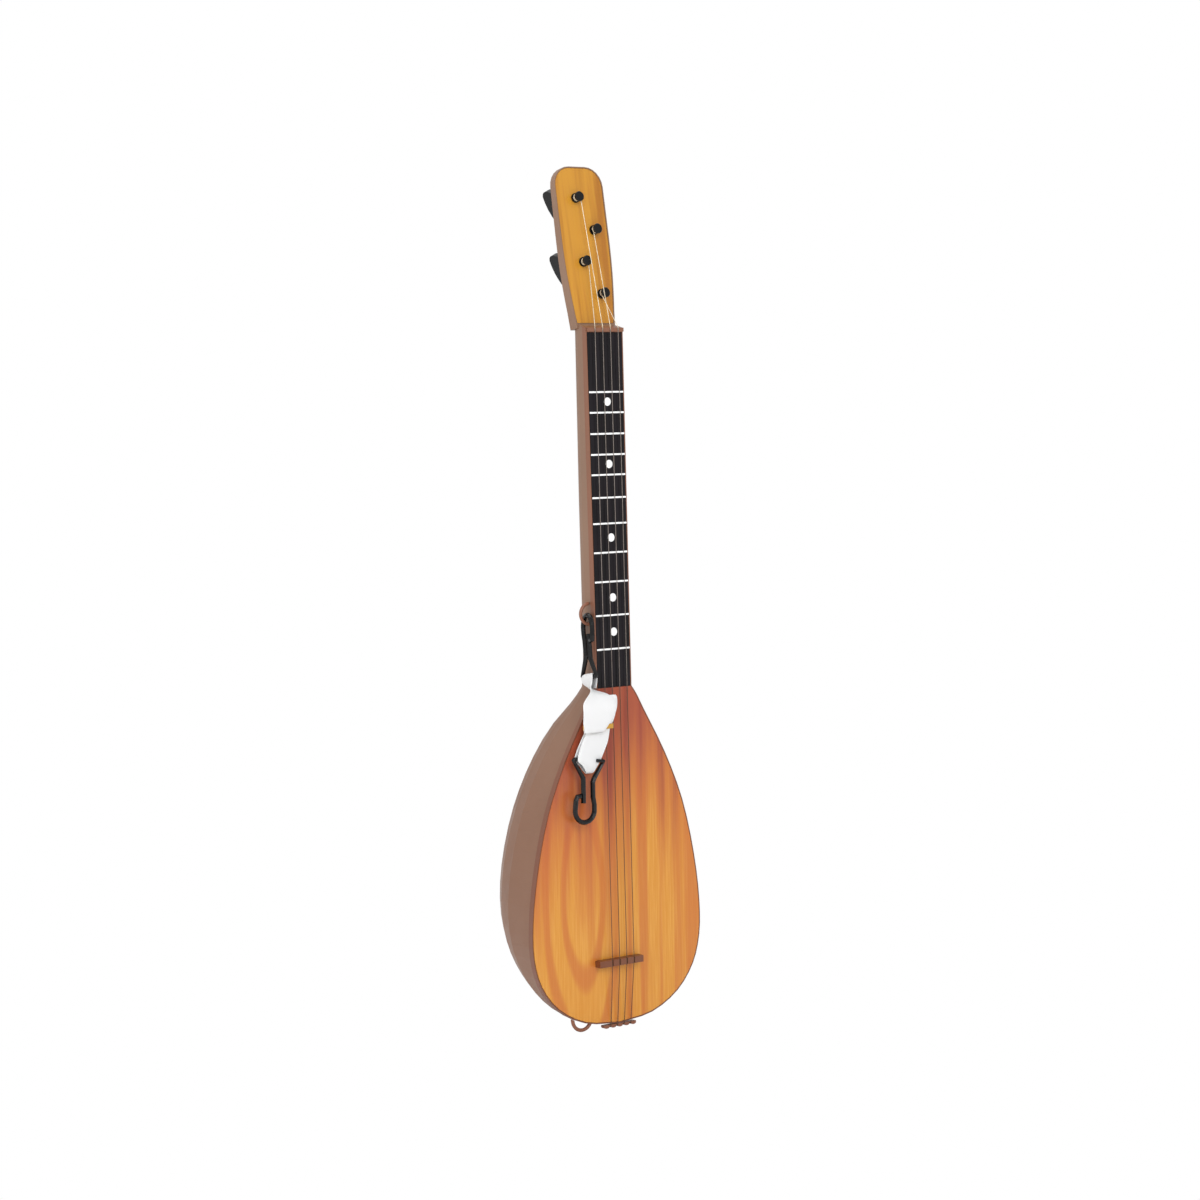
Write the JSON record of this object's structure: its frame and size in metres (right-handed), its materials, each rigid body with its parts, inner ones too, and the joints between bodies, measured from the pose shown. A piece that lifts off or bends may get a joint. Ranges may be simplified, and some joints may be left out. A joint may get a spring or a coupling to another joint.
{
  "type": "toy baglama",
  "caption": "Long-necked toy lute with a bowl body, printed wood front, fretted neck, peg head, strings and a folded strap on snap hooks.",
  "frame": {"origin": "where a hanger carries the neck, on the centre plane just under the peg head", "axes": "+Z along the neck to the head, -Y out of the strings, +X to the player's side"},
  "size_m": [0.1598, 0.0995, 0.6582],
  "materials": {
    "brown_plastic": "satin moulded plastic",
    "printed_wood": "printed wood grain under gloss",
    "black_board": "gloss black with white frets",
    "black_plastic": "gloss black",
    "string": "thin pale line",
    "webbing": "white woven webbing",
    "ochre_band": "elastic band"
  },
  "bodies": {
    "root": {"back_shell": "brown_plastic", "front_cover": "brown_plastic", "soundboard": "printed_wood", "fingerboard": "black_board", "head_plate": "printed_wood", "nut": "brown_plastic", "bridge": "brown_plastic", "string_holder": "brown_plastic", "neck_loop": "brown_plastic", "tail_loop": "brown_plastic", "tuner_washer_1": "black_plastic", "tuner_washer_2": "black_plastic", "tuner_washer_3": "black_plastic", "tuner_washer_4": "black_plastic", "string_1": "string", "string_2": "string", "string_3": "string", "string_4": "string"},
    "peg_1": {"tuner_post_1": "black_plastic", "tuner_knob_1": "black_plastic"},
    "peg_2": {"tuner_post_2": "black_plastic", "tuner_knob_2": "black_plastic"},
    "peg_3": {"tuner_post_3": "black_plastic", "tuner_knob_3": "black_plastic"},
    "peg_4": {"tuner_post_4": "black_plastic", "tuner_knob_4": "black_plastic"},
    "upper_hook": {"upper_hook": "black_plastic"},
    "strap": {"strap": "webbing", "strap_band": "ochre_band"},
    "lower_hook": {"lower_hook": "black_plastic"}
  },
  "joints": [
    {"name": "peg_1_turn", "type": "hinge", "parent": "root", "child": "peg_1", "pos_m": [-0.0047, 0.01467, 0.08674], "axis": [0, 0.9871, -0.1599], "continuous": true},
    {"name": "peg_2_turn", "type": "hinge", "parent": "root", "child": "peg_2", "pos_m": [0.0087, 0.01073, 0.06246], "axis": [0, 0.9871, -0.1599], "continuous": true},
    {"name": "peg_3_turn", "type": "hinge", "parent": "root", "child": "peg_3", "pos_m": [-0.0047, 0.00675, 0.03788], "axis": [0, 0.9871, -0.1599], "continuous": true},
    {"name": "peg_4_turn", "type": "hinge", "parent": "root", "child": "peg_4", "pos_m": [0.0087, 0.00283, 0.01364], "axis": [0, 0.9871, -0.1599], "continuous": true},
    {"name": "upper_hook_swing", "type": "hinge", "parent": "root", "child": "upper_hook", "pos_m": [-0.02049, -0.005, -0.23532], "axis": [-1, 0, 0], "range_deg": [0, 20]},
    {"name": "strap_swing", "type": "hinge", "parent": "upper_hook", "child": "strap", "pos_m": [-0.0244, -0.014, -0.2757], "axis": [-0.2319, -0.9625, 0.1407], "range_deg": [-8, 20]},
    {"name": "lower_hook_swing", "type": "hinge", "parent": "strap", "child": "lower_hook", "pos_m": [-0.0309, -0.01805, -0.3375], "axis": [-0.9945, 0, 0.1045], "range_deg": [0, 20]}
  ]
}
